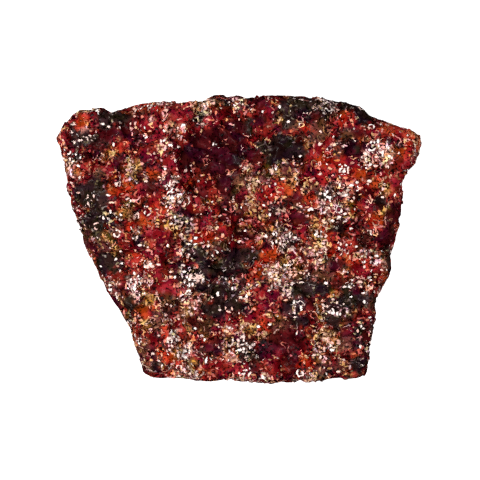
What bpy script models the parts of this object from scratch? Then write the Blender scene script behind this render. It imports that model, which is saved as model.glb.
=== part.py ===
"""Willemite specimen: one broken slab of granular red willemite ore with franklinite grains.

The slab lies on its flattest side, with its broad broken face up. One closed solid: an outline
lofted through its thickness, hollows and ridges pressed into the broad face, large broken planes,
and crystal grains whose flat faces tilt and step against each other.
Metres, +Z up. The origin is at the middle of the base.
"""

import itertools

import bmesh
import bpy
import numpy as np

MM = 0.001

# Driving dimensions, in millimetres.
THICKNESS = 18.0  # base to the mean level of the broad face
BASE_INSET = 4.4  # how far the sides tuck in from the widest line down to the base
BASE_INSET_SWING = 2.2
BASE_CURVE = 1.5  # the power of height by which they do so
RIM_INSET = 1.3  # how far the sides lean in from the widest line up to the broad face
RIM_INSET_SWING = 0.6
RIM_CURVE = 2.2
WIDEST_AT = 0.55  # height of the widest line, as a share of the thickness
WIDEST_SWING = 0.16
SWINGS = (2, 3, 4, 5)  # how many times each of the swings added together goes round the slab
SWINGS_PEAK = 1.1  # about the most that they come to together
RINGS = 12
VOXEL = 0.5  # spacing of the points that the breakage is pressed into
TARGET_TRIANGLES = 9400
BASE_SINK = 0.22  # how far the underside is pressed below the base plane before it is cut flat
BASE_SNAP = 0.16  # anything lower than this joins the base plane

NODE = "willemite_specimen"
ORE_COLOUR = (0.17, 0.045, 0.035, 1)
ORE_ROUGHNESS = 0.35

# Outline of the slab seen from above, clockwise from the left tip, (x, y) in millimetres.
OUTLINE = [
    (-27.2, 15.3), (-25.7, 17.2), (-24.7, 18.4), (-23.7, 19.3), (-22.2, 19.2), (-20.7, 19.7),
    (-17.1, 19.7), (-15.2, 20.1), (-12.6, 20.4), (-9.6, 20.6), (-7.2, 20.7), (-4.8, 21.3),
    (-3.2, 21.6), (-1.4, 21.3), (2.0, 21.4), (6.3, 21.5), (8.6, 21.5), (10.4, 21.4),
    (15.2, 20.8), (17.0, 20.2), (18.5, 19.8), (19.8, 18.5), (21.2, 17.9), (22.8, 17.4),
    (24.6, 16.7), (26.3, 16.1), (27.3, 15.5), (27.4, 14.3), (26.9, 12.2), (26.1, 10.9),
    (25.1, 9.9), (24.6, 8.3), (24.6, 6.8), (24.8, 5.3), (24.7, 3.5), (23.9, 1.7),
    (22.8, -2.4), (23.0, -4.4), (22.4, -6.2), (20.6, -9.2), (20.6, -11.3), (19.8, -14.9),
    (19.5, -18.2), (19.1, -19.8), (18.1, -20.6), (15.0, -21.0), (12.6, -21.5), (10.5, -21.5),
    (6.9, -21.3), (4.4, -21.6), (2.6, -21.4), (0.8, -21.5), (-2.6, -21.1), (-6.3, -21.2),
    (-8.1, -20.9), (-10.1, -20.9), (-13.1, -20.7), (-14.3, -20.0), (-14.6, -18.4), (-16.2, -13.4),
    (-18.0, -10.4), (-21.4, -4.0), (-22.7, -1.7), (-23.7, 2.1), (-25.0, 5.9), (-25.9, 9.2),
    (-26.5, 13.8),
]

# Hollows and ridges of the broad face: the line each follows, its half-width and its rise, in mm.
RELIEF = {
    "central_groove": (
        [(-2.6, 18.2), (-0.7, 13.4), (-1.4, 8.1), (0.3, 2.6), (0.8, -3.5), (-2.2, -7.7), (-3.7, -12.5)],
        2.4, -2.2),
    "upper_hollow": ([(-4.4, 14.6), (-4.6, 9.2)], 3.2, -1.4),
    "middle_pit": ([(-0.2, 1.4), (2.3, 0.5)], 1.1, -2.4),
    "shadow_ledge": ([(5.0, -1.7), (1.4, -2.9), (-2.6, -5.0)], 1.4, -2.2),
    "right_pit": ([(17.0, 14.6), (17.3, 12.8)], 1.3, -2.0),
    "grain_socket": ([(4.7, 13.1), (8.6, 13.7)], 2.0, -0.9),
    "left_edge_hollow": ([(-22.4, 7.4), (-21.5, 2.1)], 1.8, -0.9),
    "low_left_hollow": ([(-19.7, -3.5), (-18.8, -4.4)], 2.0, -0.9),
    "low_right_hollow": ([(7.7, -14.4), (8.6, -17.4)], 2.6, -1.2),
    "left_ridge": ([(-10.0, 16.4), (-9.5, 8.9), (-8.3, 3.6), (-11.9, -3.2)], 1.8, 1.1),
    "middle_ridge": ([(3.5, -4.4), (9.2, -1.7), (13.1, 2.1), (13.7, 5.9)], 1.8, 1.0),
    "right_shoulder": ([(21.2, 13.4), (13.7, 11.1)], 2.8, 0.8),
    "low_right_knob": ([(18.4, -3.9), (17.2, -5.0)], 2.2, 0.8),
    "low_left_rise": ([(-13.4, -15.2), (-7.4, -18.2)], 2.2, 0.6),
    "bottom_knob": ([(0.2, -15.9), (-2.0, -16.4)], 2.2, 0.8),
}

# Two sizes of broken plane laid over each other. Lengths in millimetres.
PLANES = {"spacing": 7.5, "step": 0.8, "tilt": 0.16, "seam": 0.0, "seam_width": 1.0, "seed": 11}
GRAINS = {"spacing": 2.5, "step": 0.5, "tilt": 0.36, "seam": 0.18, "seam_width": 0.5, "seed": 4}
TABLE_SIDE = 32  # cells after which the random numbers repeat, far more than the slab is wide
SMOOTHING_ROUNDS = {"relief": 3, "planes": 6, "grains": 4}  # of the directions that each is pressed along
BULGE_SHARE = 0.5  # share of a bulge left at the widest line,
DENT_SHARE = 0.6  # and of a dent, so that the slab keeps its outline and still fills it
CALM_REACH = 0.1  # how far from that line the shares hold, and where the whole breakage is back, on a
WHOLE_REACH = 0.6  # scale from 0 at the line to 1 at the base and at the broad face
TRIM_LEAN = 0.6  # how much of the sides' inset is asked of a bulge too


def clear_scene():
    for obj in list(bpy.data.objects):
        bpy.data.objects.remove(obj)


def wave(angle, seed):
    """A smooth irregular swing from about -1 to 1 round the slab."""
    phases = np.random.default_rng(seed).uniform(0, 2 * np.pi, len(SWINGS))
    return sum(np.sin(k * angle + phase) / k for k, phase in zip(SWINGS, phases, strict=True)) / SWINGS_PEAK


def from_widest(share, angle):
    """How far below and above the widest line: 0 at it, and 1 at the base or at the broad face."""
    widest = WIDEST_AT + WIDEST_SWING * wave(angle, 1)
    below = np.maximum(0, (widest - share) / widest)
    above = np.maximum(0, (share - widest) / (1 - widest))
    return below, above


def inset_at(share, angle):
    """How far the side stands in from the outline, at a share of the thickness."""
    below, above = from_widest(share, angle)
    under = BASE_INSET + BASE_INSET_SWING * wave(angle, 2)
    over = RIM_INSET + RIM_INSET_SWING * wave(angle, 3)
    return under * below**BASE_CURVE + over * above**RIM_CURVE


def lofted_body():
    """The outline carried up through the thickness in rings, closed at both ends."""
    mesh = bmesh.new()
    rings = []
    for level in range(RINGS + 1):
        share = level / RINGS
        ring = []
        for x, y in OUTLINE:
            reach = np.hypot(x, y)
            scale = 1 - inset_at(share, np.arctan2(y, x)) / reach
            ring.append(mesh.verts.new((x * scale, y * scale, share * THICKNESS)))
        rings.append(ring)
    for lower, upper in itertools.pairwise(rings):
        for i in range(len(OUTLINE)):
            j = (i + 1) % len(OUTLINE)
            mesh.faces.new((lower[i], upper[i], upper[j], lower[j]))
    mesh.faces.new(rings[0])
    mesh.faces.new(reversed(rings[-1]))
    bmesh.ops.triangulate(mesh, faces=mesh.faces)
    bmesh.ops.recalc_face_normals(mesh, faces=mesh.faces)
    data = bpy.data.meshes.new("specimen")
    mesh.to_mesh(data)
    mesh.free()
    return data


def with_modifier(data, kind, **settings):
    """The mesh as one modifier leaves it."""
    helper = bpy.data.objects.new("helper", data)
    bpy.context.scene.collection.objects.link(helper)
    modifier = helper.modifiers.new(kind, kind)
    for name, value in settings.items():
        setattr(modifier, name, value)
    graph = bpy.context.evaluated_depsgraph_get()
    made = bpy.data.meshes.new_from_object(helper.evaluated_get(graph))
    bpy.data.objects.remove(helper)
    return made


def points_of(data):
    points = np.empty(len(data.vertices) * 3, np.float32)
    data.vertices.foreach_get("co", points)
    return points.reshape(-1, 3).astype(float)


def set_points(data, points):
    data.vertices.foreach_set("co", points.astype(np.float32).ravel())
    data.update()


def smoothed(data, values, rounds):
    """Each vertex's value, averaged with its neighbours' so many times."""
    ends = np.empty(len(data.edges) * 2, np.int32)
    data.edges.foreach_get("vertices", ends)
    first, second = ends.reshape(-1, 2).T
    count = np.bincount(ends, minlength=len(values))[:, None]
    for _ in range(rounds):
        total = np.zeros_like(values)
        np.add.at(total, first, values[second])
        np.add.at(total, second, values[first])
        values = 0.5 * values + 0.5 * total / count
    return values


def normals_of(data, rounds):
    normals = np.empty(len(data.vertices) * 3, np.float32)
    data.vertices.foreach_get("normal", normals)
    normals = smoothed(data, normals.reshape(-1, 3).astype(float), rounds)
    return normals / np.linalg.norm(normals, axis=1, keepdims=True)


def distance_to_line(points, line):
    """Distance in plan from each point to a line of straight stretches."""
    nearest = np.full(len(points), np.inf)
    for start, end in itertools.pairwise(np.array(line)):
        run = end - start
        along = np.clip((points[:, :2] - start) @ run / (run @ run), 0, 1)
        gap = points[:, :2] - start - along[:, None] * run
        nearest = np.minimum(nearest, np.linalg.norm(gap, axis=1))
    return nearest


def relief_height(points):
    """Rise of the broad face at each point."""
    rise = np.zeros(len(points))
    for line, half_width, height in RELIEF.values():
        rise += height * np.exp(-((distance_to_line(points, line) / half_width) ** 2))
    return rise


def cell_height(points, spacing, step, tilt, seam, seam_width, seed):
    """Height of a surface broken into cells, each with its own level and its own tilted flat face.

    Each cell draws seven numbers: three for its centre, one for its level and three for its tilt."""
    table = np.random.default_rng(seed).random((TABLE_SIDE, TABLE_SIDE, TABLE_SIDE, 7))
    cells = np.floor(points / spacing).astype(int)
    first = np.full(len(points), np.inf)
    second = np.full(len(points), np.inf)
    height = np.zeros(len(points))
    for offset in itertools.product((-1, 0, 1), repeat=3):
        neighbour = cells + offset
        draw = table[tuple((neighbour % TABLE_SIDE).T)]
        centre = (neighbour + draw[:, :3]) * spacing
        away = points - centre
        distance = np.linalg.norm(away, axis=1)
        own = step * (draw[:, 3] - 0.5) + tilt * ((2 * draw[:, 4:] - 1) * away).sum(axis=1)
        closer = distance < first
        second = np.where(closer, first, np.minimum(second, distance))
        height = np.where(closer, own, height)
        first = np.where(closer, distance, first)
    return height - seam * np.exp(-(((second - first) / seam_width) ** 2))


def press_relief(data):
    """Presses the hollows and ridges into whatever faces up."""
    points = points_of(data)
    upward = np.clip(normals_of(data, SMOOTHING_ROUNDS["relief"])[:, 2], 0, 1) ** 2
    points[:, 2] += relief_height(points) * upward
    set_points(data, points)


def break_up(data, cells, rounds):
    """Breaks the surface into flat-faced cells, more gently near the widest line."""
    points = points_of(data)
    normals = normals_of(data, rounds)
    height = cell_height(points, **cells)
    below, above = from_widest(points[:, 2] / THICKNESS, np.arctan2(points[:, 1], points[:, 0]))
    freed = np.clip((below + above - CALM_REACH) / (WHOLE_REACH - CALM_REACH), 0, 1)
    share = np.where(height > 0, BULGE_SHARE, DENT_SHARE)
    share = share + (1 - share) * freed
    points[:, :2] += normals[:, :2] * (height * share)[:, None]
    points[:, 2] += normals[:, 2] * height
    set_points(data, points)


def trim_to_outline(data):
    """Brings back whatever has bulged past the outline, which leans in above and below the widest line."""
    points = points_of(data)
    corners = np.array(OUTLINE)
    corner_angle = np.arctan2(corners[:, 1], corners[:, 0])
    angle = np.arctan2(points[:, 1], points[:, 0])
    limit = np.interp(angle, corner_angle, np.hypot(corners[:, 0], corners[:, 1]), period=2 * np.pi)
    limit -= TRIM_LEAN * inset_at(points[:, 2] / THICKNESS, angle)
    reach = np.hypot(points[:, 0], points[:, 1])
    points[:, :2] *= (limit / np.maximum(limit, reach))[:, None]
    set_points(data, points)


def cut_base(data):
    """Presses the underside below the base plane and cuts it flat there."""
    points = points_of(data)
    points[:, 2] = np.maximum(points[:, 2] - BASE_SINK, 0)
    set_points(data, points)


def flatten_base(data):
    """Brings everything at or under the base plane onto it."""
    points = points_of(data)
    points[:, 2] = np.where(points[:, 2] < BASE_SNAP, 0.0, points[:, 2])
    set_points(data, points)


def centre_and_scale(data):
    """Puts the origin at the middle of the base, and turns millimetres into metres."""
    points = points_of(data)
    middle = (points.min(axis=0) + points.max(axis=0)) / 2
    points[:, :2] -= middle[:2]
    set_points(data, points * MM)


def ore_material():
    material = bpy.data.materials.new("red_willemite_ore")
    material.use_nodes = True
    shader = material.node_tree.nodes["Principled BSDF"]
    shader.inputs["Base Color"].default_value = ORE_COLOUR
    shader.inputs["Roughness"].default_value = ORE_ROUGHNESS
    shader.inputs["Metallic"].default_value = 0.0
    return material


def build_specimen():
    data = with_modifier(lofted_body(), "REMESH", mode="VOXEL", voxel_size=VOXEL)
    press_relief(data)
    break_up(data, PLANES, SMOOTHING_ROUNDS["planes"])
    break_up(data, GRAINS, SMOOTHING_ROUNDS["grains"])
    trim_to_outline(data)
    cut_base(data)
    ratio = TARGET_TRIANGLES / (2 * len(data.polygons))
    data = with_modifier(data, "DECIMATE", ratio=ratio, use_collapse_triangulate=True)
    flatten_base(data)
    centre_and_scale(data)
    data.shade_flat()
    data.materials.append(ore_material())
    data.name = NODE
    bpy.context.scene.collection.objects.link(bpy.data.objects.new(NODE, data))


clear_scene()
build_specimen()
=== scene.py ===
"""Looks of the willemite specimen: a broken slab of granular red ore, seen from above.

The solid is remeshed and broken again into grains, and those into crumbs. Each crumb takes its mineral
from a map of patches, and its colours, flecks and painted glints, pale spots that stand for highlights,
are its mineral's. The surface is worked on in millimetres and brought back to metres at the end.
"""

import itertools
import math

import bmesh
import bpy
import numpy as np
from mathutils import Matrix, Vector


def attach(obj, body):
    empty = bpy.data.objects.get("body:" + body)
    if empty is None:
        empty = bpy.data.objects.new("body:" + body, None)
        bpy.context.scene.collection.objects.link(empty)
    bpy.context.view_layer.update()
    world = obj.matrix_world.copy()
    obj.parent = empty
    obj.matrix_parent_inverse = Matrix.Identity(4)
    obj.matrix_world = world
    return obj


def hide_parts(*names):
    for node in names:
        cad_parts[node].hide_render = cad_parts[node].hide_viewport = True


MM = 0.001

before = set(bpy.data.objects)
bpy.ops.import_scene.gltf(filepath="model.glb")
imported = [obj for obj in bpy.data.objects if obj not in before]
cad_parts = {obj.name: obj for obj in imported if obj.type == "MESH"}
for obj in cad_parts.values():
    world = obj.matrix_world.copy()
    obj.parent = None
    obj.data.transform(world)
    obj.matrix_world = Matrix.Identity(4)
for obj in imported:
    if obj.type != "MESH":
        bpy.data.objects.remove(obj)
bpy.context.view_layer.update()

# ---------------------------------------------------------------- the view, straight down
VIEW_SIDE = 480  # pixels
MM_PER_PIXEL = 0.15
VIEW_HEIGHT = 10.0  # mm above the base, where that scale holds
ORIGIN_PIXEL = (239.0, 239.0)  # where the specimen's own origin is seen
CAMERA_DISTANCE = 500.0  # mm above that height
CLIP_START = 10.0  # mm

# ---------------------------------------------------------------- sizes, in millimetres
NODE = "willemite_specimen"
SKIN_VOXEL = 0.24  # spacing of the fine surface's points
SKIN_TRIANGLES = 190000
FACE_BOTTOM = 9.0  # above this height the stone belongs to the broad face's mineral map
WANDER_TOP = 15.0  # below this height the map's patches wander aside, so that none is a stripe down a side
WANDER = 4.5  # how far at most they wander, at FACE_BOTTOM
WANDER_SPACING = 3.0  # how far apart the places are that wander in different directions
WIDEST = 9.5  # height where the slab is widest: about there grains move aside less, to keep its outline
WIDEST_SPREAD = 5.0  # how far above and below that height this is felt
BUMP_CALM = 1.0  # the share of a bump's way aside that is taken away at that height

# The stone is broken into cells: grains, and the crumbs of those. Of each:
# spacing        of the cells' centres
# step           the range of the cells' levels
# tilt           how much a cell's flat face slopes at most
# seed           of the cells' places, levels and slopes
# rounds         how many times the surface's normals are softened before it is moved along them
# dent_calm      the share of a dent's way aside that is taken away where the slab is widest
GRAIN = {"spacing": 1.4, "step": 0.22, "tilt": 0.36, "seed": 21, "rounds": 4, "dent_calm": 0.3}
CRUMB = {"spacing": 0.65, "step": 0.12, "tilt": 0.40, "seed": 33, "rounds": 2, "dent_calm": 0.8}
CLUSTER = {"spacing": 2.7, "seed": 5}  # neighbouring grains of one mineral
# These are in sizes of a cell.
WARP = 0.22  # how far the cells' borders are bent
WARP_SPACING = 0.55  # the size of those bends
INSIDE = 0.45  # how much nearer a cell's middle is to its own centre than to the next one

# Seeds and factors of the random numbers. The factors scatter neighbouring cells' numbers.
WANDER_SEED = 77
CLUSTER_DRAW_SEED = 6
GRAIN_DRAW_SEED = 91
CRUMB_DRAW_SEED = 17
CELL_FACTORS = (73856093, 19349663, 83492791)
SEED_FACTOR = 9176423
COUNT_FACTOR = 668265263
MIX_FACTORS = (0x7FEB352D, 0x846CA68B)
MIX_SHIFTS = (16, 15)
LOW_BITS = 0xFFFFFFFF

# ---------------------------------------------------------------- minerals
# Of each mineral:
# colours        of its crumbs, from the darkest to the palest, in linear colour
# fleck_colours  of its flecks, in the same way
# warm, cool     how much more green its warm grains have, and how much more blue its cool ones
# flecks         the share of the places for a fleck that have one
# clean          the share of its flecks and painted glints that is gone in the middle of a patch, where
#                the painted shade of its gaps is less too
# glints         the share of the places for a painted highlight, a pale spot, that have one
# roughness      of its surface
# sugar          how strongly its crumbs stand out, from 0 to 1
# share          its share of the crumbs that the map doesn't decide
# purity         the share of a patch's rim that is this mineral; in the middle of the patch all is
MINERALS = {
    "red": {
        "colours": [(0.048, 0.0008, 0.0015), (0.082, 0.0013, 0.003), (0.122, 0.0025, 0.005),
                    (0.185, 0.006, 0.008), (0.30, 0.023, 0.018)],
        "fleck_colours": [(0.45, 0.06, 0.04), (0.60, 0.20, 0.13), (0.80, 0.48, 0.36)],
        "warm": 0.005, "cool": 0.006, "flecks": 0.145, "clean": 0.6, "glints": 0.04,
        "roughness": 0.28, "sugar": 0.35, "share": 0.37, "purity": 0.85,
    },
    "deep_red": {
        "colours": [(0.018, 0.0007, 0.0014), (0.030, 0.0012, 0.0023), (0.047, 0.0022, 0.0034),
                    (0.080, 0.006, 0.007)],
        "fleck_colours": [(0.25, 0.02, 0.02), (0.45, 0.10, 0.09), (0.75, 0.45, 0.36)],
        "warm": 0.002, "cool": 0.004, "flecks": 0.05, "clean": 0.8, "glints": 0.018,
        "roughness": 0.3, "sugar": 0.3, "share": 0.17, "purity": 0.92,
    },
    # Dark red, and partly painted shade: its patches lie in the groove, the pit and the hole of the broad
    # face.
    "maroon_and_painted_shade": {
        "colours": [(0.013, 0.0006, 0.0013), (0.021, 0.001, 0.002), (0.031, 0.0016, 0.0028),
                    (0.052, 0.004, 0.005)],
        "fleck_colours": [(0.30, 0.03, 0.03), (0.50, 0.13, 0.11), (0.80, 0.50, 0.42)],
        "warm": 0.001, "cool": 0.003, "flecks": 0.07, "clean": 0.7, "glints": 0.025,
        "roughness": 0.3, "sugar": 0.3, "share": 0.05, "purity": 0.92,
    },
    "orange": {
        "colours": [(0.11, 0.002, 0.001), (0.20, 0.006, 0.002), (0.31, 0.016, 0.006), (0.42, 0.045, 0.016)],
        "fleck_colours": [(0.58, 0.12, 0.05), (0.65, 0.25, 0.14), (0.82, 0.48, 0.38)],
        "warm": 0.014, "cool": 0.006, "flecks": 0.18, "clean": 0.55, "glints": 0.045,
        "roughness": 0.3, "sugar": 0.45, "share": 0.10, "purity": 0.8,
    },
    "ochre": {
        "colours": [(0.034, 0.004, 0.002), (0.11, 0.016, 0.005), (0.21, 0.045, 0.012), (0.33, 0.11, 0.035)],
        "fleck_colours": [(0.40, 0.17, 0.04), (0.56, 0.31, 0.14), (0.85, 0.58, 0.46)],
        "warm": 0.024, "cool": 0.006, "flecks": 0.46, "clean": 0.0, "glints": 0.07,
        "roughness": 0.36, "sugar": 0.7, "share": 0.08, "purity": 0.72,
    },
    "cream": {
        "colours": [(0.08, 0.005, 0.004), (0.17, 0.018, 0.013), (0.30, 0.075, 0.05), (0.45, 0.17, 0.12)],
        "fleck_colours": [(0.70, 0.26, 0.19), (0.86, 0.54, 0.42), (1.0, 0.86, 0.78)],
        "warm": 0.014, "cool": 0.014, "flecks": 0.54, "clean": 0.0, "glints": 0.19,
        "roughness": 0.36, "sugar": 0.9, "share": 0.05, "purity": 0.7,
    },
    "brown": {
        "colours": [(0.025, 0.003, 0.003), (0.05, 0.008, 0.006), (0.09, 0.018, 0.013), (0.14, 0.038, 0.026)],
        "fleck_colours": [(0.22, 0.085, 0.045), (0.38, 0.18, 0.10), (0.52, 0.32, 0.22)],
        "warm": 0.010, "cool": 0.004, "flecks": 0.18, "clean": 0.4, "glints": 0.035,
        "roughness": 0.34, "sugar": 0.5, "share": 0.06, "purity": 0.75,
    },
    "black": {
        "colours": [(0.005, 0.001, 0.001), (0.010, 0.003, 0.003), (0.018, 0.007, 0.006),
                    (0.034, 0.014, 0.012)],
        "fleck_colours": [(0.03, 0.02, 0.015), (0.10, 0.07, 0.05), (0.40, 0.33, 0.30)],
        "warm": 0.003, "cool": 0.003, "flecks": 0.16, "clean": 0.8, "glints": 0.05,
        "roughness": 0.26, "sugar": 0.5, "share": 0.07, "purity": 0.92,
    },
    "mottled": {
        "colours": [(0.010, 0.003, 0.003), (0.024, 0.006, 0.006), (0.052, 0.015, 0.013),
                    (0.10, 0.038, 0.032)],
        "fleck_colours": [(0.26, 0.14, 0.10), (0.55, 0.36, 0.30), (0.95, 0.80, 0.75)],
        "warm": 0.006, "cool": 0.006, "flecks": 0.28, "clean": 0.0, "glints": 0.2,
        "roughness": 0.3, "sugar": 0.9, "share": 0.05, "purity": 0.8,
    },
}
GREEN = (0, 1, 0)
BLUE = (0, 0, 1)
CAST_SHARE = 0.3  # of all grains that are warm, and of all that are cool; for flecks, of all crumbs
WARM_FLECK = (1.0, 1.0, 0.6)  # what a warm fleck's colour is multiplied by, and a cool one's
COOL_FLECK = (1.0, 0.82, 1.1)
BORDER_FLECKS = 2.0  # how many times as flecked a grain is at its border, and in its middle
MIDDLE_FLECKS = 0.35
DRAWS = 5  # how many random numbers each crumb has, and what each is for
CHANCE, SHADE, MIXING, FLECK_SHADE, CAST = range(DRAWS)
GRAIN_SAY = 0.6  # how far a crumb's draws follow its grain's
SPREAD = 1.35  # the two draws together bunch about the middle, and this spreads them again
CHANCE_SAY = 0.3  # how far a crumb's chance moves its cluster's draw of a mineral
RAGGED = 0.6  # how much that chance widens or narrows a patch
RAGGED_MIDDLE = 0.35  # the chance at which a patch keeps its size
SPARKLE_SHARE = 0.56  # what the middle of a glinting place adds to the share of painted glints
TINT_ROUNDS = 1  # how many times a crumb's colour is softened into its neighbours', and its other values,
VALUE_ROUNDS = 4  # except for its flecks' colour, which isn't
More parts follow.
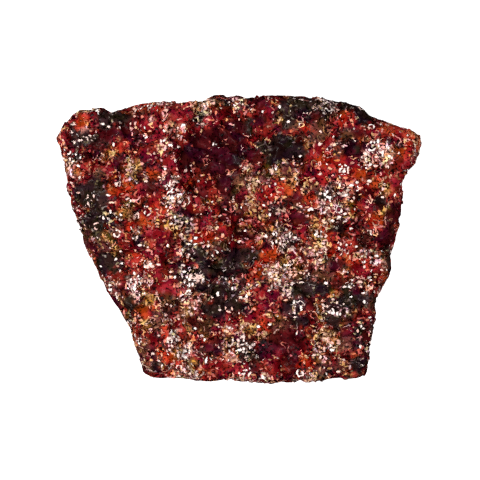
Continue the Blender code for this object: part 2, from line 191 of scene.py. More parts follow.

# The mineral map of the broad face. About half of the patches were read one by one. The rest, and two
# thirds of the glinting places, are corrections, many of them at places that a scratch script had
# printed. Each patch is the middle of an ellipse, x and y, and its half-width and half-height, in pixels
# of the view, with y counted down from the top. The patch that a crumb lies deepest in wins.
PATCHES = {
    "orange": [
        (82, 121, 10, 9), (122, 148, 8, 9), (158, 107, 9, 6), (130, 111, 5, 4), (115, 190, 8, 7),
        (155, 212, 10, 8), (143, 222, 8, 9), (308, 130, 6, 4), (345, 118, 7, 7), (395, 128, 14, 7),
        (412, 140, 6, 10), (345, 172, 8, 6), (320, 178, 9, 6), (283, 190, 16, 7), (272, 194, 8, 6),
        (372, 183, 6, 6), (312, 201, 7, 6), (318, 230, 9, 6), (375, 221, 8, 8), (138, 258, 8, 8),
        (146, 311, 7, 8), (165, 330, 5, 11), (178, 362, 6, 8), (205, 238, 12, 6), (268, 255, 10, 7),
        (258, 268, 7, 9), (328, 237, 6, 4), (355, 262, 9, 5), (331, 252, 6, 5), (130, 188, 6, 6),
        (167, 375, 6, 5), (343, 168, 8, 7), (130, 226, 6, 6), (122, 312, 5, 6), (362, 173, 7, 6),
        (153, 172, 6, 6), (168, 357, 6, 6), (340, 161, 6, 7), (325, 161, 14, 12), (366, 266, 8, 6),
        (404, 152, 9, 5), (124, 166, 4, 6), (307, 362, 8, 9), (225, 227, 10, 4), (202, 372, 5, 6),
        (385, 176, 7, 5), (135, 109, 7, 4), (148, 107, 7, 4), (417, 143, 6, 9), (382, 276, 5, 6),
        (303, 127, 5, 4), (405, 133, 11, 7),
    ],
    "red": [
        (286, 372, 7, 6), (308, 171, 7, 7), (292, 256, 5, 5), (307, 207, 5, 5), (160, 141, 5, 5),
        (150, 150, 12, 10), (175, 115, 9, 12), (185, 117, 7, 8), (170, 162, 8, 11), (213, 119, 8, 7),
        (200, 182, 5, 9), (213, 190, 4, 16), (195, 205, 8, 7), (115, 203, 7, 8), (158, 236, 14, 9),
        (266, 128, 6, 10), (310, 160, 6, 8), (318, 149, 8, 6), (355, 126, 7, 5), (352, 166, 10, 8),
        (392, 168, 7, 5), (406, 163, 11, 8), (395, 186, 8, 14), (362, 205, 10, 5), (306, 228, 7, 5),
        (228, 236, 8, 7), (160, 270, 14, 10), (168, 287, 14, 10), (118, 279, 8, 6), (130, 249, 6, 6),
        (178, 326, 6, 6), (186, 335, 8, 9), (218, 368, 14, 8), (240, 367, 10, 6), (350, 245, 9, 8),
        (362, 271, 12, 9), (378, 272, 6, 8), (262, 290, 9, 7), (368, 320, 5, 5), (270, 366, 11, 9),
        (365, 188, 9, 7), (110, 168, 7, 6), (92, 166, 9, 8), (150, 340, 7, 8), (350, 329, 6, 6),
        (66, 138, 6, 5), (270, 112, 6, 9), (220, 232, 8, 5), (206, 221, 8, 6), (154, 245, 8, 6),
        (252, 317, 8, 6), (150, 200, 6, 6), (139, 203, 6, 6), (150, 125, 10, 9), (267, 305, 12, 8),
        (327, 143, 7, 6), (188, 129, 6, 7), (180, 143, 6, 6), (373, 129, 6, 5), (259, 197, 5, 7),
        (401, 178, 7, 6), (369, 212, 6, 5), (268, 320, 5, 5), (149, 213, 6, 6), (223, 111, 6, 5),
        (152, 287, 6, 5),
    ],
    # Partly painted shade: these follow the groove down the middle, the pit by it and the hole on the right,
    # where the ore is dark red and also in shadow.
    "maroon_and_painted_shade": [
        (205, 150, 26, 19), (191, 140, 6, 12), (235, 140, 13, 22), (228, 165, 14, 16), (213, 132, 9, 7),
        (186, 160, 6, 12), (225, 186, 10, 11), (352, 150, 9, 12), (249, 236, 11, 6), (362, 152, 4, 8),
        (243, 215, 7, 6), (248, 151, 7, 8), (227, 206, 8, 8), (213, 169, 9, 8), (224, 217, 7, 6),
    ],
    "deep_red": [
        (366, 337, 5, 8), (316, 118, 6, 6), (99, 148, 8, 6), (119, 165, 7, 10), (150, 188, 10, 8),
        (262, 103, 9, 6), (257, 160, 8, 10), (272, 216, 7, 7), (122, 289, 8, 6), (212, 348, 9, 9),
        (195, 321, 8, 8), (285, 340, 20, 16), (290, 366, 9, 9), (310, 305, 6, 10), (340, 262, 6, 4),
        (355, 290, 9, 6), (385, 236, 9, 12), (394, 216, 9, 12), (108, 136, 10, 6), (130, 131, 9, 9),
        (140, 172, 6, 5), (297, 198, 8, 5), (240, 200, 5, 8), (203, 192, 7, 8), (340, 284, 7, 6),
        (300, 218, 12, 7), (156, 244, 7, 6), (359, 134, 8, 5), (241, 278, 6, 7), (262, 120, 7, 8),
        (189, 213, 6, 5), (116, 132, 6, 6), (343, 333, 6, 7), (91, 245, 5, 6), (335, 268, 8, 6),
        (254, 364, 6, 5),
    ],
    "ochre": [
        (132, 168, 9, 10), (108, 158, 7, 7), (200, 103, 8, 5), (163, 225, 9, 4), (128, 210, 8, 10),
        (108, 238, 8, 7), (308, 145, 5, 8), (338, 153, 5, 8), (252, 184, 6, 8), (386, 190, 6, 8),
        (384, 209, 6, 6), (349, 212, 8, 7), (249, 206, 9, 12), (315, 228, 8, 8), (320, 240, 10, 14),
        (146, 323, 5, 11), (150, 298, 12, 6), (190, 312, 5, 6), (290, 266, 8, 10), (320, 312, 4, 13),
        (262, 336, 9, 6), (325, 336, 9, 9), (334, 342, 7, 10), (320, 358, 8, 6), (190, 368, 9, 9),
        (178, 352, 5, 7), (250, 328, 10, 8), (278, 119, 4, 7), (125, 320, 4, 16), (116, 250, 5, 5),
        (279, 171, 8, 6), (293, 181, 7, 5), (415, 134, 5, 4), (330, 222, 8, 5), (122, 305, 3, 14),
        (180, 232, 6, 8), (262, 214, 5, 6), (102, 155, 6, 5), (343, 323, 5, 4),
    ],
    "cream": [
        (88, 129, 7, 4), (415, 142, 7, 9), (165, 147, 8, 8), (207, 111, 4, 8), (152, 121, 3, 5),
        (165, 114, 4, 7), (172, 184, 5, 7), (178, 198, 12, 6), (168, 207, 5, 13), (376, 142, 6, 6),
        (385, 151, 10, 7), (366, 156, 6, 7), (296, 173, 5, 4), (248, 168, 7, 6), (339, 184, 6, 6),
        (323, 207, 9, 5), (263, 237, 9, 5), (308, 252, 8, 6), (270, 270, 9, 9), (150, 265, 6, 5),
        (137, 283, 7, 8), (173, 336, 5, 7), (188, 346, 6, 7), (229, 332, 6, 6), (200, 297, 7, 5),
        (377, 256, 7, 7), (318, 350, 8, 7), (170, 366, 5, 4), (163, 177, 4, 5), (116, 282, 6, 6),
        (180, 122, 4, 5), (240, 337, 8, 5), (338, 209, 8, 8), (324, 250, 8, 8), (320, 235, 9, 10),
        (285, 272, 9, 7), (237, 103, 5, 4), (338, 194, 7, 6), (241, 379, 7, 4), (302, 262, 8, 7),
        (187, 366, 8, 7), (318, 260, 6, 6), (172, 343, 6, 8), (194, 377, 9, 5), (179, 375, 7, 5),
        (310, 376, 8, 5), (116, 298, 5, 7), (112, 285, 6, 5), (386, 263, 5, 6), (138, 343, 4, 6),
        (198, 320, 7, 6), (185, 297, 8, 6), (189, 371, 10, 7), (138, 296, 6, 6), (264, 378, 6, 4),
        (147, 366, 4, 5), (364, 253, 5, 6), (160, 106, 9, 6), (149, 107, 5, 4), (170, 154, 5, 4),
        (166, 316, 5, 5), (141, 108, 4, 3), (135, 231, 5, 5), (183, 355, 8, 8), (384, 160, 7, 6),
        (278, 283, 6, 6), (195, 305, 6, 6), (325, 210, 9, 6), (286, 278, 6, 5), (245, 299, 6, 5),
        (176, 126, 8, 5), (185, 128, 5, 4), (345, 170, 5, 5), (322, 189, 5, 4), (278, 234, 4, 5),
        (323, 358, 6, 5), (266, 336, 5, 5), (146, 341, 4, 5), (148, 282, 5, 5), (350, 194, 5, 4),
    ],
    # Partly painted shade: the black patches from x 200 to 245 and y 255 to 310 lie in the lower groove and
    # the ledge by the pit, and the one at (355, 150) lies in the hole on the right, where the stone is also
    # in shadow.
    "black": [
        (103, 118, 9, 10), (118, 117, 14, 7), (83, 139, 17, 8), (85, 195, 14, 12), (94, 185, 9, 8),
        (99, 199, 10, 11), (92, 222, 13, 8), (97, 234, 6, 6), (250, 127, 6, 10), (285, 108, 9, 10),
        (303, 105, 14, 8), (350, 105, 18, 6), (364, 115, 11, 8), (282, 148, 20, 14), (300, 150, 7, 9),
        (290, 118, 9, 8), (128, 118, 7, 4), (292, 294, 5, 6), (380, 202, 7, 5), (335, 231, 7, 5),
        (108, 262, 14, 11), (129, 304, 8, 8), (200, 256, 10, 9), (201, 285, 9, 8), (206, 271, 11, 8),
        (245, 257, 18, 8), (226, 266, 12, 9), (238, 271, 10, 6), (222, 291, 10, 10), (214, 307, 13, 11),
        (236, 305, 12, 8), (305, 290, 12, 8), (320, 290, 10, 8), (288, 308, 6, 7), (355, 300, 19, 8),
        (374, 300, 9, 8), (97, 210, 8, 6), (289, 123, 7, 6), (355, 150, 6, 9), (333, 321, 8, 7),
        (300, 322, 9, 7), (155, 367, 6, 5), (358, 366, 10, 8), (390, 264, 4, 13), (236, 160, 8, 8),
        (274, 160, 10, 6),
    ],
    "mottled": [
        (73, 162, 4, 7), (113, 217, 8, 8), (189, 227, 6, 7), (318, 106, 8, 6), (328, 105, 8, 8),
        (325, 193, 7, 8), (342, 222, 7, 5), (278, 208, 9, 7), (189, 247, 7, 9), (191, 277, 14, 11),
        (379, 290, 5, 5), (300, 101, 7, 4), (75, 139, 6, 4), (290, 241, 8, 9), (287, 291, 7, 7),
        (300, 305, 6, 6), (293, 312, 6, 6), (97, 113, 6, 5), (80, 156, 4, 5), (330, 310, 8, 10),
        (243, 347, 11, 8), (348, 287, 8, 5), (138, 240, 6, 6), (168, 312, 6, 6), (285, 249, 5, 5),
    ],
    "brown": [
        (320, 130, 12, 10), (350, 131, 10, 7), (85, 240, 7, 12), (105, 246, 8, 6), (265, 179, 6, 7),
        (312, 187, 8, 5), (157, 320, 6, 10), (170, 304, 10, 8), (208, 326, 8, 10), (218, 248, 8, 9),
        (345, 346, 13, 9), (342, 366, 8, 7), (345, 324, 9, 7), (143, 351, 6, 8), (325, 368, 9, 7),
        (280, 325, 9, 7), (325, 275, 10, 6), (365, 238, 8, 6), (98, 172, 8, 6), (241, 182, 6, 9),
        (372, 305, 6, 8), (172, 242, 6, 6), (285, 171, 7, 6), (250, 179, 6, 6), (116, 231, 6, 6),
        (182, 315, 6, 7),
    ],
}
# Where the broad face has the most painted glints, pale spots that stand for highlights, and the most
# sugary crumbs, in the same way.
GLINTS = [
    (167, 147, 6, 7), (180, 143, 4, 3), (187, 172, 6, 8), (172, 183, 6, 6), (182, 202, 9, 5),
    (170, 195, 4, 7), (383, 151, 7, 5), (72, 158, 3, 7), (82, 139, 13, 4), (92, 196, 6, 5),
    (330, 107, 8, 7), (308, 112, 5, 4), (381, 152, 12, 7), (365, 155, 5, 6), (366, 165, 5, 5),
    (355, 187, 5, 5), (325, 198, 6, 6), (286, 245, 7, 6), (281, 267, 7, 6), (284, 290, 4, 5),
    (297, 306, 5, 5), (354, 285, 10, 5), (147, 264, 5, 4), (137, 283, 8, 7), (192, 279, 10, 9),
    (193, 280, 8, 7), (380, 290, 4, 4), (223, 357, 4, 3), (183, 356, 7, 6), (243, 338, 5, 5),
    (319, 233, 5, 5), (245, 292, 6, 4), (240, 347, 9, 6), (245, 372, 6, 5), (328, 345, 6, 6),
    (345, 247, 5, 5), (215, 146, 4, 6), (203, 124, 4, 5), (325, 208, 6, 4), (175, 339, 6, 7),
    (78, 142, 8, 4), (92, 137, 7, 3), (152, 107, 8, 5), (84, 229, 5, 4), (344, 170, 7, 6),
    (292, 272, 6, 5), (238, 340, 7, 4),
]

# ---------------------------------------------------------------- material, in millimetres
BEND_SIZE = 0.7  # of the bends that make flecks crooked
FLECK_BEND = 0.45  # how far they are bent, and how far glints are
GLINT_BEND = 0.2
# Layers of flecks and of painted glints: spots in the middles of cells, arcs round those, or strokes
# along the cells' edges. Of each, the size of its cells, and how much they are squeezed along each axis.
FLECK_LAYERS = [
    ("spot", 0.5, (0.45, 1.0, 1.0)),
    ("spot", 0.48, (1.0, 0.42, 1.0)),
    ("stroke", 1.0, (1.0, 1.0, 1.0)),
]
# Painted glints: pale spots and arcs in the colour that stand for highlights.
GLINT_LAYERS = [
    ("spot", 0.55, (0.6, 1.0, 1.0)),
    ("spot", 0.5, (1.0, 0.65, 1.0)),
    ("arc", 1.5, (1.0, 1.0, 1.0)),
]
# How far a shape is whole, where it ends and where the painted shade round it ends, in cell sizes: of
# a spot from its cell's middle, of an arc from the arc's radius and of a stroke from its cell's edge.
SHAPES = {"spot": (0.27, 0.45, 0.65), "arc": (0.05, 0.11, 0.20), "stroke": (0.07, 0.17, 0.28)}
ARC_RADIUS = 0.33
BREAK_SIZE = 0.6  # of the gaps that break rings into arcs and edges into strokes
BREAK_FADE = (0.44, 0.54)  # the noise up to which there is such a gap, and from which there is none
RIM_SHADE_LIGHT = 0.4  # how light the ground is in the painted shade round a shape
FLECK_LIGHT = (0.5, 1.3)  # of the dimmest fleck and the brightest
PAINTED_GLINT_COLOURS = ((0.74, 0.38, 0.30, 1), (1.0, 0.90, 0.85, 1))  # of the painted glints, pale spots for highlights: the dullest and the brightest
TONE_SIZE = 0.65  # of the larger dark gaps between crumbs, which are painted shade, and of the finer ones
FINE_TONE_SIZE = 0.32
TONE_DETAIL = 2.0  # how many still finer noises each of these has
TONE_WEIGHT = 0.6  # of the larger ones beside the finer ones
TONE_FADE = (0.38, 0.60)  # the tone up to which the ground is a gap in painted shade, and from which it is crumb
GAP_SHADE_LIGHT = 0.05  # how light the painted shade in the gaps between crumbs is, and how light the crumbs
CRUMB_LIGHT = 1.22
CALM_TONE = 0.19  # how much this tone is raised in a calm place, which so has fewer gaps of painted shade
FACET_SIZE = 0.5  # of the small facets that catch the light
FACET_TILT = 0.08  # how far they lean
ORE_IOR = 1.6
ORE_SPECULAR = 0.02  # the glints are in the colour, and a stronger reflection would be a haze over it

# ---------------------------------------------------------------- stage, in metres, degrees and watts
FLOOR_SIZE = 8.0
FLOOR_DROP = 0.0002  # below the base
FLOOR_COLOUR = (0.6, 0.6, 0.6, 1)
FLOOR_ROUGHNESS = 0.9
FLOOR_GLOW = 0.93
WORLD_GLOW = 1.0
WHITE = (1, 1, 1, 1)
LAMPS = {
    "key_left": {"azimuth": 188, "elevation": 58, "distance": 0.6, "size": 0.10, "power": 3.6},
    "flash": {"azimuth": 40, "elevation": 78, "distance": 0.6, "size": 0.06, "power": 2.4},
    "fill": {"azimuth": -60, "elevation": 65, "distance": 1.2, "size": 1.2, "power": 2.5},
}
VIEW_X = (VIEW_SIDE / 2 - ORIGIN_PIXEL[0]) * MM_PER_PIXEL
VIEW_Y = (ORIGIN_PIXEL[1] - VIEW_SIDE / 2) * MM_PER_PIXEL
VIEW_CENTRE = Vector((VIEW_X, VIEW_Y, VIEW_HEIGHT)) * MM


# ---------------------------------------------------------------- meshes
def points_of(data):
    points = np.empty(len(data.vertices) * 3, np.float32)
    data.vertices.foreach_get("co", points)
    return points.reshape(-1, 3).astype(float)


def set_points(data, points):
    data.vertices.foreach_set("co", points.astype(np.float32).ravel())
    data.update()


def with_modifier(data, kind, **settings):
    """A new mesh: this one as the modifier leaves it."""
    helper = bpy.data.objects.new("helper", data)
    bpy.context.scene.collection.objects.link(helper)
    modifier = helper.modifiers.new(kind, kind)
    for name, value in settings.items():
        setattr(modifier, name, value)
    graph = bpy.context.evaluated_depsgraph_get()
    made = bpy.data.meshes.new_from_object(helper.evaluated_get(graph))
    bpy.data.objects.remove(helper)
    return made


def edge_ends(data):
    """The vertices at the two ends of each edge."""
    ends = np.empty(len(data.edges) * 2, np.int32)
    data.edges.foreach_get("vertices", ends)
    return ends.reshape(-1, 2).T


def body_of_each(data):
    """The body that each vertex belongs to, named after the lowest vertex of that body."""
    first, second = edge_ends(data)
    body = np.arange(len(data.vertices))
    changed = True
    while changed:
        lowest = np.minimum(body[first], body[second])
        joined = body.copy()
        np.minimum.at(joined, first, lowest)
        np.minimum.at(joined, second, lowest)
        joined = joined[joined]
        changed = (joined != body).any()
        body = joined
    return body


def keep_largest_body(data):
    """Deletes the small bubbles that remeshing leaves apart from the stone."""
    body = body_of_each(data)
    strays = np.flatnonzero(body != np.bincount(body).argmax())
    mesh = bmesh.new()
    mesh.from_mesh(data)
    mesh.verts.ensure_lookup_table()
    bmesh.ops.delete(mesh, geom=[mesh.verts[i] for i in strays], context="VERTS")
    mesh.to_mesh(data)
    mesh.free()


def dissolve_folds(data):
    """Dissolves each vertex that only two faces meet at, where they would fold onto each other."""
    mesh = bmesh.new()
    mesh.from_mesh(data)
    folds = [vertex for vertex in mesh.verts if len(vertex.link_edges) == 2]
    bmesh.ops.dissolve_verts(mesh, verts=folds)
    mesh.to_mesh(data)
    mesh.free()


def softened(data, values, rounds):
    """Each vertex's values averaged with its neighbours' so many times."""
    first, second = edge_ends(data)
    neighbours = np.bincount(np.concatenate([first, second]), minlength=len(values))[:, None]
    for _ in range(rounds):
        total = np.zeros_like(values)
        for axis in range(values.shape[1]):
            total[:, axis] += np.bincount(first, values[second, axis], len(values))
            total[:, axis] += np.bincount(second, values[first, axis], len(values))
        values = 0.5 * values + 0.5 * total / neighbours
    return values


def softened_normals(data, rounds):
    normals = np.empty(len(data.vertices) * 3, np.float32)
    data.vertices.foreach_get("normal", normals)
    normals = softened(data, normals.reshape(-1, 3).astype(float), rounds)
    return normals / np.linalg.norm(normals, axis=1, keepdims=True)


def point_values(data, name, values):
    """Gives each vertex its value, under this name."""
    attribute = data.attributes.new(name, "FLOAT", "POINT")
    attribute.data.foreach_set("value", values.astype(np.float32))


def point_colours(data, name, colours):
    """Gives each vertex its colour, under this name."""
    attribute = data.attributes.new(name, "FLOAT_COLOR", "POINT")
    rgba = np.ones((len(colours), 4), np.float32)
    rgba[:, :3] = colours
    attribute.data.foreach_set("color", rgba.ravel())


# ---------------------------------------------------------------- grains
def hashed(cells, count, seed):
    """So many numbers from 0 to 1 for each lattice cell, the same each run."""
    key = (cells * CELL_FACTORS).sum(axis=1) + seed * SEED_FACTOR
    draws = np.empty((len(cells), count))
    for column in range(count):
        number = (key + column * COUNT_FACTOR) & LOW_BITS
        for shift, factor in zip(MIX_SHIFTS, MIX_FACTORS, strict=True):
            number = ((number ^ (number >> shift)) * factor) & LOW_BITS
        draws[:, column] = (number ^ (number >> MIX_SHIFTS[0])) / (LOW_BITS + 1)
    return draws


def smooth_noise(points, spacing, seed):
    """Three smooth random numbers, from -1 to 1, at each point."""
    base = np.floor(points / spacing).astype(np.int64)
    part = points / spacing - base
    part = part * part * (3 - 2 * part)
    total = np.zeros_like(points)
    for corner in itertools.product((0, 1), repeat=3):
        weight = np.prod(np.where(corner, part, 1 - part), axis=1)
        total += weight[:, None] * (2 * hashed(base + corner, 3, seed) - 1)
    return total


def nearest_cells(points, spacing, seed):
    """The jittered cell that each point lies in, that cell's centre, and how far the point is inside it.

    The last is 0 at the cell's border and about 1 in its middle."""
    points = points + WARP * spacing * smooth_noise(points, WARP_SPACING * spacing, seed)
    cells = np.floor(points / spacing).astype(np.int64)
    nearest = np.full(len(points), np.inf)
    second = nearest.copy()
    found = cells.copy()
    centres = np.zeros_like(points)
    for offset in itertools.product((-1, 0, 1), repeat=3):
        neighbour = cells + offset
        centre = (neighbour + hashed(neighbour, 3, seed)) * spacing
        distance = np.linalg.norm(points - centre, axis=1)
        closer = distance < nearest
        second = np.where(closer, nearest, np.minimum(second, distance))
        found[closer] = neighbour[closer]
        centres[closer] = centre[closer]
        nearest[closer] = distance[closer]
    return found, centres, np.clip((second - nearest) / (INSIDE * spacing), 0, 1)


def cell_height(points, spacing, step, tilt, seed):
    """Height of a surface broken into cells, each with its own level and its own tilted flat face."""
    cells, centres, _ = nearest_cells(points, spacing, seed)
    draws = hashed(cells, 4, seed + 1)
    tilted = tilt * ((2 * draws[:, 1:] - 1) * (points - centres)).sum(axis=1)
    return step * (draws[:, 0] - 0.5) + tilted


def break_surface(data, share, rounds, dent_calm, **cells):
    """Breaks the surface into cells, by a share of their full height at each point."""
    points = points_of(data)
    height = cell_height(points, **cells) * share
    away = softened_normals(data, rounds) * height[:, None]
    near_widest = np.exp(-(((points[:, 2] - WIDEST) / WIDEST_SPREAD) ** 2))
    calm = near_widest * np.where(height > 0, BUMP_CALM, dent_calm)
    away[:, :2] *= (1 - calm)[:, None]
    points += away
    points[:, 2] = np.maximum(points[:, 2], 0)
    set_points(data, points)


# ---------------------------------------------------------------- minerals of the grains
def map_place(points):
    """Where on the map each point is, in pixels: where the view straight down shows it, but wandering
    aside lower down."""
    below = np.clip((WANDER_TOP - points[:, 2]) / (WANDER_TOP - FACE_BOTTOM), 0, 1)
    points = points + WANDER * below[:, None] * smooth_noise(points, WANDER_SPACING, WANDER_SEED)
    nearer = 1 - (points[:, 2] - VIEW_HEIGHT) / CAMERA_DISTANCE
    scale = MM_PER_PIXEL * nearer
    return np.stack([ORIGIN_PIXEL[0] + points[:, 0] / scale, ORIGIN_PIXEL[1] - points[:, 1] / scale], 1)


def depth_in(pixels, x, y, half_width, half_height):
    """1 at a patch's middle and 0 at its rim."""
    return 1 - ((pixels[:, 0] - x) / half_width) ** 2 - ((pixels[:, 1] - y) / half_height) ** 2


def by_mineral(kind, quality):
    """This quality of each crumb's mineral."""
    return np.array([mineral[quality] for mineral in MINERALS.values()])[kind]


def mapped_mineral(points, chance):
    """The mineral that the map gives each point, or -1 off the map, and how deep in its patch it is."""
    pixels = map_place(points)
    kind = np.full(len(points), -1)
    best = np.zeros(len(points))
    for index, name in enumerate(MINERALS):
        for patch in PATCHES[name]:
            depth = depth_in(pixels, *patch) + RAGGED * (chance - RAGGED_MIDDLE)
            deeper = (depth > best) & (points[:, 2] > FACE_BOTTOM)
            kind[deeper] = index
            best[deeper] = depth[deeper]
    return kind, np.minimum(best, 1)


def mineral_of(points, chance, mixing):
    """Which mineral each crumb is, as an index into MINERALS, and how deep in a patch of it.

    chance and mixing are random numbers, one of each per crumb."""
    kind, depth = mapped_mineral(points, chance)
    cluster, _, _ = nearest_cells(points, **CLUSTER)
    draw = hashed(cluster, 1, CLUSTER_DRAW_SEED)[:, 0] + CHANCE_SAY * (chance - 0.5)
    shares = [mineral["share"] for mineral in MINERALS.values()]
    elsewhere = np.searchsorted(np.cumsum(shares)[:-1], draw)
    purity = by_mineral(kind, "purity")
    pure = np.where(kind < 0, 0, purity + (1 - purity) * depth)
    mapped = mixing < pure
    return np.where(mapped, kind, elsewhere), np.where(mapped, depth, 0)


def sparkle_at(points):
    """How much the map adds to painted glints and sugar: 1 in a place's middle, and more where places
    overlap.
    """
    pixels = map_place(points)
    total = np.zeros(len(points))
    for patch in GLINTS:
        total += np.maximum(depth_in(pixels, *patch), 0)
    return np.where(points[:, 2] > FACE_BOTTOM, np.sqrt(total), 0)


def along(palette, kind, way):
    """The colour of each crumb, so much of the way along this palette of its mineral."""
    colours = np.zeros((len(kind), 3))
    for index, mineral in enumerate(MINERALS.values()):
        stops = np.array(mineral[palette])
        where = kind == index
        marks = np.linspace(0, 1, len(stops))
        colours[where] = np.stack([np.interp(way[where], marks, channel) for channel in stops.T], 1)
    return colours


def cast_of(draw, warm, cool, neither):
    """Which of the three each crumb has, by its draw."""
    draw = draw[:, None]
    return np.where(draw < CAST_SHARE, cool, np.where(draw > 1 - CAST_SHARE, warm, neither))


def crumbs_at(points):
    """What the crumb at each point is: its mineral, how deep in a patch of it the crumb is, how far inside
    its grain the point is, and the random numbers for its colours."""
    grain, _, inside = nearest_cells(points, GRAIN["spacing"], GRAIN["seed"])
    crumb, centres, _ = nearest_cells(points, CRUMB["spacing"], CRUMB["seed"])
    grain_draws = hashed(grain, DRAWS, GRAIN_DRAW_SEED)
    crumb_draws = hashed(crumb, DRAWS, CRUMB_DRAW_SEED)
    draws = GRAIN_SAY * grain_draws + (1 - GRAIN_SAY) * crumb_draws
    spread = np.clip(0.5 + SPREAD * (draws - 0.5), 0, 1)
    kind, depth = mineral_of(centres, draws[:, CHANCE], crumb_draws[:, MIXING])
    return {
        "kind": kind,
        "depth": depth,
        "inside": inside,
        "shade": spread[:, SHADE],
        "fleck_shade": spread[:, FLECK_SHADE],
        "cast": grain_draws[:, CAST],
        "fleck_cast": crumb_draws[:, CAST],
    }


# ---------------------------------------------------------------- skin
def broken_surface():
    """The solid's surface, in millimetres, remeshed and broken again into grains and crumbs."""
    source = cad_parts[NODE].data.copy()
    source.materials.clear()
    set_points(source, points_of(source) / MM)
    data = with_modifier(source, "REMESH", mode="VOXEL", voxel_size=SKIN_VOXEL)
    keep_largest_body(data)
    break_surface(data, 1.0, **GRAIN)
    points = points_of(data)
    sugar = by_mineral(crumbs_at(points)["kind"], "sugar")
    break_surface(data, np.maximum(sugar, sparkle_at(points)), **CRUMB)
    triangles = 2 * len(data.polygons)
    data = with_modifier(data, "DECIMATE", decimate_type="COLLAPSE", ratio=SKIN_TRIANGLES / triangles)
    dissolve_folds(data)
    return data


def paint(data):
    """Gives each point of the skin what the material reads: its colours, its share of painted glints, and
    how flecked, rough, sugary and calm it is."""
    points = points_of(data)
    crumbs = crumbs_at(points)
    kind = crumbs["kind"]
    sparkle = sparkle_at(points)
    warm = by_mineral(kind, "warm")[:, None] * GREEN
    cool = by_mineral(kind, "cool")[:, None] * BLUE
    tint = along("colours", kind, crumbs["shade"]) + cast_of(crumbs["cast"], warm, cool, 0)
    fleck_cast = cast_of(crumbs["fleck_cast"], WARM_FLECK, COOL_FLECK, (1, 1, 1))
    fleck_tint = along("fleck_colours", kind, crumbs["fleck_shade"]) * fleck_cast
    point_colours(data, "tint", softened(data, tint, TINT_ROUNDS))
    point_colours(data, "fleck_tint", fleck_tint)

    calm = by_mineral(kind, "clean") * crumbs["depth"]
    flecked = (1 - calm) * (BORDER_FLECKS + (MIDDLE_FLECKS - BORDER_FLECKS) * crumbs["inside"])
    values = {
        "flecks": by_mineral(kind, "flecks") * flecked,
        "glints": by_mineral(kind, "glints") * (1 - calm) + SPARKLE_SHARE * sparkle,
        "roughness": by_mineral(kind, "roughness"),
        "sugar": np.maximum(by_mineral(kind, "sugar"), sparkle),
        "calm": calm,
    }
    for name, value in values.items():
        point_values(data, name, softened(data, value[:, None], VALUE_ROUNDS)[:, 0])


def add_ore_skin():
    """The specimen's fine surface, which is shown in place of the solid."""
    data = broken_surface()
    paint(data)
    data.materials.append(ore_material())
    set_points(data, points_of(data) * MM)
    data.shade_smooth()
    data.name = "ore_skin"
    obj = bpy.data.objects.new("ore_skin", data)
    bpy.context.scene.collection.objects.link(obj)
    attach(obj, "root")
    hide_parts(NODE)


# ---------------------------------------------------------------- material
class Nodes:
    """Short ways to add and link a material's nodes."""

    def __init__(self, material):
        material.use_nodes = True
        self.tree = material.node_tree
        self.shader = self.tree.nodes["Principled BSDF"]

    def add(self, kind, **settings):
        node = self.tree.nodes.new(kind)
        for name, value in settings.items():
            setattr(node, name, value)
        return node

    def put(self, socket, value):
        if isinstance(value, bpy.types.NodeSocket):
            self.tree.links.new(value, socket)
        else:
            socket.default_value = value

    def value(self, name):
        return self.add("ShaderNodeAttribute", attribute_name=name).outputs["Fac"]

    def colour(self, name):
        return self.add("ShaderNodeAttribute", attribute_name=name).outputs["Color"]

    def math(self, operation, *values):
        node = self.add("ShaderNodeMath", operation=operation)
        for socket, value in zip(node.inputs, values, strict=False):
            self.put(socket, value)
        return node.outputs[0]

    def vector(self, operation, first, second):
        node = self.add("ShaderNodeVectorMath", operation=operation)
        self.put(node.inputs[0], first)
        self.put(node.inputs[1], second)
        return node.outputs[0]

    def unit(self, vector):
        node = self.add("ShaderNodeVectorMath", operation="NORMALIZE")
        self.put(node.inputs[0], vector)
        return node.outputs[0]

    def scaled(self, vector, factor):
        node = self.add("ShaderNodeVectorMath", operation="SCALE")
        self.put(node.inputs[0], vector)
        self.put(node.inputs["Scale"], factor)
        return node.outputs[0]

    def mix(self, factor, first, second):
        node = self.add("ShaderNodeMix", data_type="RGBA")
        self.put(node.inputs["Factor"], factor)
        self.put(node.inputs["A"], first)
        self.put(node.inputs["B"], second)
        return node.outputs["Result"]

    def between(self, factor, low, high):
        """low where the factor is 0, and high where it is 1."""
        return self.math("MULTIPLY_ADD", factor, high - low, low)

    def fade(self, value, low, high):
        """0 up to low, 1 from high on, and smooth between."""
        node = self.add("ShaderNodeMapRange", interpolation_type="SMOOTHSTEP")
        self.put(node.inputs["Value"], value)
        self.put(node.inputs["From Min"], low)
        self.put(node.inputs["From Max"], high)
        return node.outputs["Result"]

    def texture(self, kind, place, size_mm, **settings):
        node = self.add(kind, **settings)
        self.put(node.inputs["Scale"], 1 / (size_mm * MM))
        self.put(node.inputs["Vector"], place)
        return node

    def cells(self, place, size_mm):
        """The distance from the middle of a cell of about this size, and three random numbers for it."""
        node = self.texture("ShaderNodeTexVoronoi", place, size_mm)
        numbers = self.add("ShaderNodeSeparateColor")
        self.put(numbers.inputs["Color"], node.outputs["Color"])
        return node.outputs["Distance"], numbers.outputs

    def edges(self, place, size_mm):
        """The distance from the edge of a cell of about this size."""
        node = self.texture("ShaderNodeTexVoronoi", place, size_mm, feature="DISTANCE_TO_EDGE")
        return node.outputs["Distance"]

    def noise(self, place, size_mm, detail=0.0):
        node = self.texture("ShaderNodeTexNoise", place, size_mm)
        self.put(node.inputs["Detail"], detail)
        return node.outputs


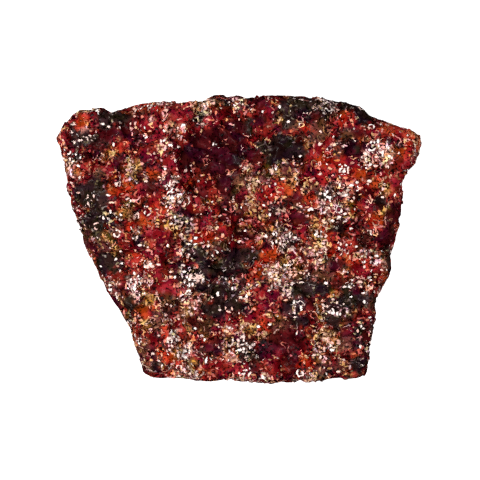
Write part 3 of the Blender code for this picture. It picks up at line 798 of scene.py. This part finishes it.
def scattered(nodes, place, layers, share):
    """How much the layers' shapes cover the point, how much the painted shade round them does, and a
    random number of the place."""
    cover = 0.0
    rim_shade = 0.0
    for kind, size, squeeze in layers:
        squeezed = nodes.vector("MULTIPLY", place, squeeze)
        away, numbers = nodes.cells(squeezed, size)
        here = nodes.math("LESS_THAN", numbers[0], share)
        if kind == "arc":
            away = nodes.math("ABSOLUTE", nodes.math("SUBTRACT", away, ARC_RADIUS))
        if kind == "stroke":
            away = nodes.edges(squeezed, size)
        if kind != "spot":
            whole = nodes.fade(nodes.noise(place, BREAK_SIZE)["Fac"], *BREAK_FADE)
            here = nodes.math("MULTIPLY", here, whole)
        core, rim, rim_shade_end = SHAPES[kind]
        cover = nodes.math("MAXIMUM", cover, nodes.math("MULTIPLY", here, nodes.fade(away, rim, core)))
        rim_shade = nodes.math("MAXIMUM", rim_shade, nodes.math("MULTIPLY", here, nodes.fade(away, rim_shade_end, rim)))
        number = numbers[1]
    return cover, rim_shade, number


def with_rim_shade(nodes, colour, rim_shade):
    """The colour, darker where painted shade lies round a shape."""
    return nodes.scaled(colour, nodes.between(rim_shade, 1.0, RIM_SHADE_LIGHT))


def ground_colour(nodes, place):
    """Crumbs, with dark gaps between them, which are painted shade."""
    tone = nodes.noise(place, TONE_SIZE, TONE_DETAIL)["Fac"]
    tone = nodes.math("MULTIPLY_ADD", tone, TONE_WEIGHT, -TONE_WEIGHT / 2)
    tone = nodes.math("ADD", tone, nodes.noise(place, FINE_TONE_SIZE, TONE_DETAIL)["Fac"])
    crumb = nodes.fade(nodes.math("MULTIPLY_ADD", nodes.value("calm"), CALM_TONE, tone), *TONE_FADE)
    return nodes.scaled(nodes.colour("tint"), nodes.between(crumb, GAP_SHADE_LIGHT, CRUMB_LIGHT))


# Flecks, each with a rim of painted shade round it.
def with_flecks(nodes, ground, place):
    flecks, rim_shade, number = scattered(nodes, place, FLECK_LAYERS, nodes.value("flecks"))
    fleck_colour = nodes.scaled(nodes.colour("fleck_tint"), nodes.between(number, *FLECK_LIGHT))
    return nodes.mix(flecks, with_rim_shade(nodes, ground, rim_shade), fleck_colour)


# Painted glints: pale spots mixed into the colour that stand for highlights, with painted shade round each.
def with_glints(nodes, ground, place):
    glints, rim_shade, number = scattered(nodes, place, GLINT_LAYERS, nodes.value("glints"))
    return nodes.mix(glints, with_rim_shade(nodes, ground, rim_shade), nodes.mix(number, *PAINTED_GLINT_COLOURS))


def facets(nodes, place):
    """The surface's normal, leaning another way in each small cell, and most where the ore is sugary."""
    _, numbers = nodes.cells(place, FACET_SIZE)
    lean = nodes.add("ShaderNodeCombineXYZ")
    for socket, number in zip(lean.inputs, numbers, strict=True):
        nodes.put(socket, nodes.math("SUBTRACT", number, 0.5))
    lean = nodes.scaled(lean.outputs[0], nodes.math("MULTIPLY", nodes.value("sugar"), FACET_TILT))
    normal = nodes.add("ShaderNodeNewGeometry").outputs["Normal"]
    return nodes.unit(nodes.vector("ADD", normal, lean))


def ore_material():
    material = bpy.data.materials.new("granular_ore")
    nodes = Nodes(material)
    place = nodes.add("ShaderNodeTexCoord").outputs["Object"]
    bend = nodes.vector("SUBTRACT", nodes.noise(place, BEND_SIZE)["Color"], (0.5, 0.5, 0.5))
    bent = nodes.vector("ADD", place, nodes.scaled(bend, FLECK_BEND * MM))
    lightly_bent = nodes.vector("ADD", place, nodes.scaled(bend, GLINT_BEND * MM))
    colour = with_flecks(nodes, ground_colour(nodes, bent), bent)
    colour = with_glints(nodes, colour, lightly_bent)
    nodes.put(nodes.shader.inputs["Base Color"], colour)
    nodes.put(nodes.shader.inputs["Normal"], facets(nodes, bent))
    nodes.put(nodes.shader.inputs["Roughness"], nodes.value("roughness"))
    nodes.shader.inputs["IOR"].default_value = ORE_IOR
    nodes.shader.inputs["Specular IOR Level"].default_value = ORE_SPECULAR
    return material


# ---------------------------------------------------------------- stage
def add_floor():
    material = bpy.data.materials.new("pale_floor")
    material.use_nodes = True
    shader = material.node_tree.nodes["Principled BSDF"]
    shader.inputs["Base Color"].default_value = FLOOR_COLOUR
    shader.inputs["Roughness"].default_value = FLOOR_ROUGHNESS
    shader.inputs["Specular IOR Level"].default_value = 0.0
    shader.inputs["Emission Color"].default_value = WHITE
    shader.inputs["Emission Strength"].default_value = FLOOR_GLOW
    bpy.ops.mesh.primitive_plane_add(size=FLOOR_SIZE, location=(0, 0, -FLOOR_DROP))
    floor = bpy.context.object
    floor.name = "floor"
    floor.data.materials.append(material)
    floor.visible_glossy = False


def add_world():
    """White all round as the camera sees it, without any light from it on the stone."""
    world = bpy.data.worlds.new("studio")
    world.use_nodes = True
    background = world.node_tree.nodes["Background"]
    background.inputs["Color"].default_value = WHITE
    background.inputs["Strength"].default_value = WORLD_GLOW
    world.cycles_visibility.diffuse = False
    world.cycles_visibility.glossy = False
    bpy.context.scene.world = world


def add_light(name, azimuth, elevation, distance, size, power):
    """A square lamp aimed at the specimen. Azimuth is counted from +X towards +Y."""
    turn, rise = math.radians(azimuth), math.radians(elevation)
    towards = Vector((math.cos(turn) * math.cos(rise), math.sin(turn) * math.cos(rise), math.sin(rise)))
    lamp = bpy.data.lights.new(name, "AREA")
    lamp.shape = "SQUARE"
    lamp.size = size
    lamp.energy = power
    obj = bpy.data.objects.new(name, lamp)
    obj.location = VIEW_CENTRE + towards * distance
    obj.rotation_euler = towards.to_track_quat("Z", "Y").to_euler()
    bpy.context.scene.collection.objects.link(obj)


def add_camera():
    camera = bpy.data.cameras.new("camera")
    obj = bpy.data.objects.new("camera", camera)
    obj.location = VIEW_CENTRE + Vector((0, 0, CAMERA_DISTANCE * MM))
    camera.lens = camera.sensor_width * CAMERA_DISTANCE / (VIEW_SIDE * MM_PER_PIXEL)
    camera.clip_start = CLIP_START * MM
    bpy.context.scene.collection.objects.link(obj)
    bpy.context.scene.camera = obj


add_ore_skin()
add_floor()
add_world()
for lamp_name, settings in LAMPS.items():
    add_light(lamp_name, **settings)
add_camera()
bpy.context.scene.view_settings.view_transform = "Standard"
bpy.context.scene.cycles.use_denoising = False
